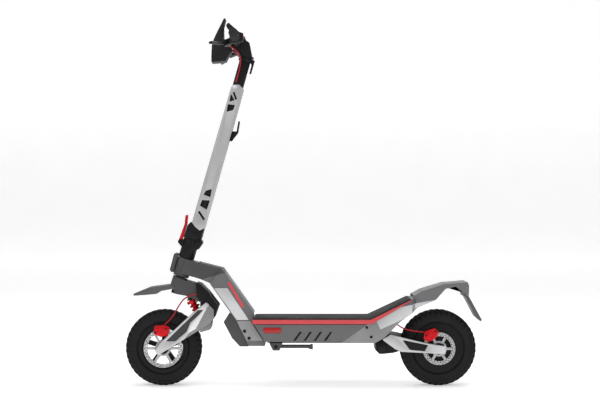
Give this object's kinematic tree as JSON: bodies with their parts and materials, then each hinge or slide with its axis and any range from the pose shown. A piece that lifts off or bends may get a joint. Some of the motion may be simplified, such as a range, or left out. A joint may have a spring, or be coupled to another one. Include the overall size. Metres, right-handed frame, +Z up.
{
  "type": "electric kick scooter",
  "caption": "Folding electric kick scooter with a tall stem, flat deck with a kicked-up tail, disc-braked wheels on sprung swing arms, and a rear hub motor.",
  "frame": {"origin": "on the ground, midway between the front of the front tyre and the tip of the mud flap", "axes": "+Z up, -X towards the front wheel, +Y the rider's right-hand side"},
  "size_m": [1.2895, 0.66, 1.3359],
  "materials": {
    "silver_alloy": "satin anodised",
    "dark_alloy": "matte powder coat",
    "black_alloy": "matte powder coat",
    "grey_plastic": "matte",
    "black_plastic": "matte",
    "panel_plastic": "ribbed matte",
    "red_alloy": "satin anodised",
    "red_trim": "gloss",
    "black_rubber": "textured",
    "tyre_rubber": "worn",
    "steel": "brushed",
    "clear": "clear",
    "lamp_plastic": "gloss",
    "pack": "shrink wrap"
  },
  "bodies": {
    "frame": {"neck": "dark_alloy", "headset_bearings": "steel", "front_covers": "black_plastic", "leg_covers": "silver_alloy", "deck_chassis": "black_alloy", "deck_lid": "black_plastic", "deck_mat": "black_rubber", "side_panels": "panel_plastic", "edge_trims": "red_trim", "battery_and_controller": "pack", "tail_casting": "silver_alloy", "rear_fender": "grey_plastic", "mud_flap": "black_rubber", "reflectors": "lamp_plastic", "pivot_housing": "black_alloy", "frame_pins": "steel", "kickstand_bracket": "black_alloy", "rear_hose": "red_trim"},
    "fork": {"fork_crown": "dark_alloy", "fork_yoke": "black_alloy", "steering_column": "dark_alloy", "fork_pins": "steel", "front_fender": "grey_plastic", "front_hose": "red_trim"},
    "latch": {"latch_lever": "red_alloy"},
    "stem": {"stem_tube": "black_alloy", "stem_plates": "silver_alloy", "fold_knuckle": "dark_alloy", "stem_hooks": "black_plastic", "stem_head": "black_alloy", "handlebar": "black_alloy", "grips": "black_rubber", "brake_perches": "black_plastic", "bar_controls": "black_plastic", "display_pod": "black_plastic", "headlight_housing": "grey_plastic", "clear_covers": "clear", "cockpit_hoses": "red_trim"},
    "brake_lever_left": {"brake_lever_left": "black_alloy"},
    "brake_lever_right": {"brake_lever_right": "black_alloy"},
    "throttle": {"throttle_lever": "black_plastic"},
    "horn_button": {"horn_button": "red_trim"},
    "mode_button": {"mode_button": "grey_plastic"},
    "front_arm": {"front_arms": "silver_alloy", "front_axle": "steel", "front_caliper": "red_alloy"},
    "front_wheel": {"front_tyre": "tyre_rubber", "front_rim": "black_alloy", "front_rotor": "steel"},
    "shock_body": {"shock_body": "steel", "shock_spring": "red_alloy"},
    "shock_rod": {"shock_rod": "steel"},
    "rear_arm": {"rear_arms": "black_alloy", "rear_arm_covers": "silver_alloy", "rear_axle": "steel", "rear_caliper": "red_alloy"},
    "rear_wheel": {"rear_tyre": "tyre_rubber", "rear_motor": "black_alloy", "rear_rotor": "steel"},
    "kickstand": {"kickstand": "black_alloy"}
  },
  "joints": [
    {"name": "steering", "type": "hinge", "parent": "frame", "child": "fork", "pos_m": [-0.449, 0, 0.396], "axis": [0.2882, 0, 0.9576], "range_deg": [-50, 50]},
    {"name": "latch", "type": "hinge", "parent": "fork", "child": "latch", "pos_m": [-0.4508, 0, 0.52186], "axis": [0, -1, 0], "range_deg": [0, 100]},
    {"name": "stem_fold", "type": "hinge", "parent": "fork", "child": "stem", "pos_m": [-0.38079, 0, 0.51854], "axis": [0, 1, 0], "range_deg": [0, 88]},
    {"name": "brake_lever_left", "type": "hinge", "parent": "stem", "child": "brake_lever_left", "pos_m": [-0.2749, -0.165, 1.22423], "axis": [-0.373, 0, 0.9278], "range_deg": [0, 20], "stiffness_Nm_per_rad": 2, "springref_deg": -11.46},
    {"name": "brake_lever_right", "type": "hinge", "parent": "stem", "child": "brake_lever_right", "pos_m": [-0.2749, 0.165, 1.22423], "axis": [0.373, 0, -0.9278], "range_deg": [0, 20], "stiffness_Nm_per_rad": 2, "springref_deg": -11.46},
    {"name": "throttle", "type": "hinge", "parent": "stem", "child": "throttle", "pos_m": [-0.23964, 0, 1.2384], "axis": [0, 1, 0], "range_deg": [0, 35], "stiffness_Nm_per_rad": 0.3, "springref_deg": -17.19},
    {"name": "horn_button", "type": "slide", "parent": "stem", "child": "horn_button", "axis": [-1, 0, 0], "range_m": [0, 0.0015], "stiffness_N_per_m": 400, "springref_m": -0.002},
    {"name": "mode_button", "type": "slide", "parent": "stem", "child": "mode_button", "axis": [-1, 0, 0], "range_m": [0, 0.0015], "stiffness_N_per_m": 400, "springref_m": -0.002},
    {"name": "front_suspension", "type": "hinge", "parent": "fork", "child": "front_arm", "pos_m": [-0.348, 0, 0.258], "axis": [0, 1, 0], "range_deg": [0, 12], "stiffness_Nm_per_rad": 260, "springref_deg": -11.46, "deforming": ["front_hose", "shock_spring"]},
    {"name": "front_wheel_spin", "type": "hinge", "parent": "front_arm", "child": "front_wheel", "pos_m": [-0.509, 0, 0.1375], "axis": [0, 1, 0], "continuous": true},
    {"name": "shock_swing", "type": "hinge", "parent": "fork", "child": "shock_body", "pos_m": [-0.412, 0, 0.312], "axis": [0, 1, 0], "range_deg": [0, 4]},
    {"name": "shock_slide", "type": "slide", "parent": "shock_body", "child": "shock_rod", "axis": [0.4961, 0, -0.8682], "range_m": [-0.007, 0]},
    {"name": "rear_suspension", "type": "hinge", "parent": "frame", "child": "rear_arm", "pos_m": [0.281, 0, 0.142], "axis": [0, -1, 0], "range_deg": [0, 6], "stiffness_Nm_per_rad": 420, "springref_deg": -11.46, "deforming": ["rear_hose"]},
    {"name": "rear_wheel_spin", "type": "hinge", "parent": "rear_arm", "child": "rear_wheel", "pos_m": [0.487, 0, 0.1375], "axis": [0, 1, 0], "continuous": true},
    {"name": "kickstand", "type": "hinge", "parent": "frame", "child": "kickstand", "pos_m": [-0.1, -0.084, 0.15], "axis": [0, 1, 0], "range_deg": [0, 95]}
  ],
  "couplings": [
    {"joint": "shock_swing", "follows": "front_suspension", "ratio": 0.29153},
    {"joint": "shock_slide", "follows": "front_suspension", "m_per_rad": -0.031192}
  ]
}
